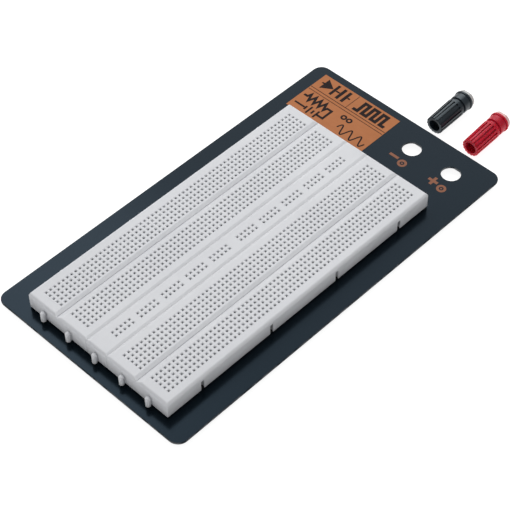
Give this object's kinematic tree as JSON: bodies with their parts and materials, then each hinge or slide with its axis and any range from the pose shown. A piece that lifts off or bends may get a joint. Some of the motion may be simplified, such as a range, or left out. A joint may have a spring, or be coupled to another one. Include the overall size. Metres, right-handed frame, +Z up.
{
  "type": "solderless breadboard",
  "caption": "Solderless breadboard strips stuck on a painted base plate with D-shaped post holes, with a black and a red binding post lying loose beside it.",
  "frame": {"origin": "middle of the whole set, plate and lying posts together, at bench level", "axes": "+X across the strips, +Y along the strips towards the post holes and the loose posts, +Z up"},
  "size_m": [0.12, 0.2526, 0.0134],
  "materials": {
    "plate_paint": "satin blue-black paint on sheet steel",
    "label_foil": "copper-coloured printed sheet",
    "foot_rubber": "matt black rubber",
    "clip_spring_metal": "nickel-plated spring bronze",
    "foam_tape": "dark double-sided foam tape",
    "pale_nylon": "pale insulating plastic",
    "nickelled_brass": "nickel-plated brass",
    "steel_screw": "zinc-plated steel",
    "black_plastic": "semi-gloss black plastic",
    "red_plastic": "semi-gloss red plastic",
    "strip_plastic": "off-white ABS with a fine satin surface"
  },
  "bodies": {
    "base": {"base_plate": "plate_paint", "label_sheet": "label_foil", "foot_front_left": "foot_rubber", "foot_front_right": "foot_rubber", "foot_back_left": "foot_rubber", "foot_back_right": "foot_rubber", "terminal_strip_left": "strip_plastic", "terminal_strip_left_foam": "foam_tape", "terminal_strip_left_clips_outer": "clip_spring_metal", "terminal_strip_left_clips_inner": "clip_spring_metal", "terminal_strip_right": "strip_plastic", "terminal_strip_right_foam": "foam_tape", "terminal_strip_right_clips_outer": "clip_spring_metal", "terminal_strip_right_clips_inner": "clip_spring_metal", "bus_strip": "strip_plastic", "bus_strip_foam": "foam_tape", "bus_strip_clips_left": "clip_spring_metal", "bus_strip_clips_right": "clip_spring_metal"},
    "black_post": {"black_post_boss": "pale_nylon", "black_post_collar": "black_plastic", "black_post_stem": "nickelled_brass", "black_post_foot_screw": "steel_screw"},
    "black_cap_carrier": {"black_post_cap_insert": "nickelled_brass"},
    "black_cap": {"black_post_cap_shell": "black_plastic"},
    "red_post": {"red_post_boss": "pale_nylon", "red_post_collar": "red_plastic", "red_post_stem": "nickelled_brass", "red_post_foot_screw": "steel_screw"},
    "red_cap_carrier": {"red_post_cap_insert": "nickelled_brass"},
    "red_cap": {"red_post_cap_shell": "red_plastic"}
  },
  "joints": [
    {"name": "black_post_lift", "type": "slide", "parent": "base", "child": "black_post", "axis": [0, 0, 1], "range_m": [0, 0.06]},
    {"name": "black_cap_rise", "type": "slide", "parent": "black_post", "child": "black_cap_carrier", "axis": [0.0262, -0.9993, -0.0262], "range_m": [0, 0.004]},
    {"name": "black_cap_turn", "type": "hinge", "parent": "black_cap_carrier", "child": "black_cap", "pos_m": [0.01238, 0.11565, 0.0053], "axis": [0.0262, -0.9993, -0.0262], "range_deg": [0, 1800]},
    {"name": "red_post_lift", "type": "slide", "parent": "base", "child": "red_post", "axis": [0, 0, 1], "range_m": [0, 0.06]},
    {"name": "red_cap_rise", "type": "slide", "parent": "red_post", "child": "red_cap_carrier", "axis": [0.0349, -0.999, -0.0262], "range_m": [0, 0.004]},
    {"name": "red_cap_turn", "type": "hinge", "parent": "red_cap_carrier", "child": "red_cap", "pos_m": [0.03534, 0.11566, 0.0053], "axis": [0.0349, -0.999, -0.0262], "range_deg": [0, 1800]}
  ],
  "couplings": [
    {"joint": "black_cap_turn", "follows": "black_cap_rise", "rad_per_m": 7853.9},
    {"joint": "red_cap_turn", "follows": "red_cap_rise", "rad_per_m": 7853.9}
  ]
}
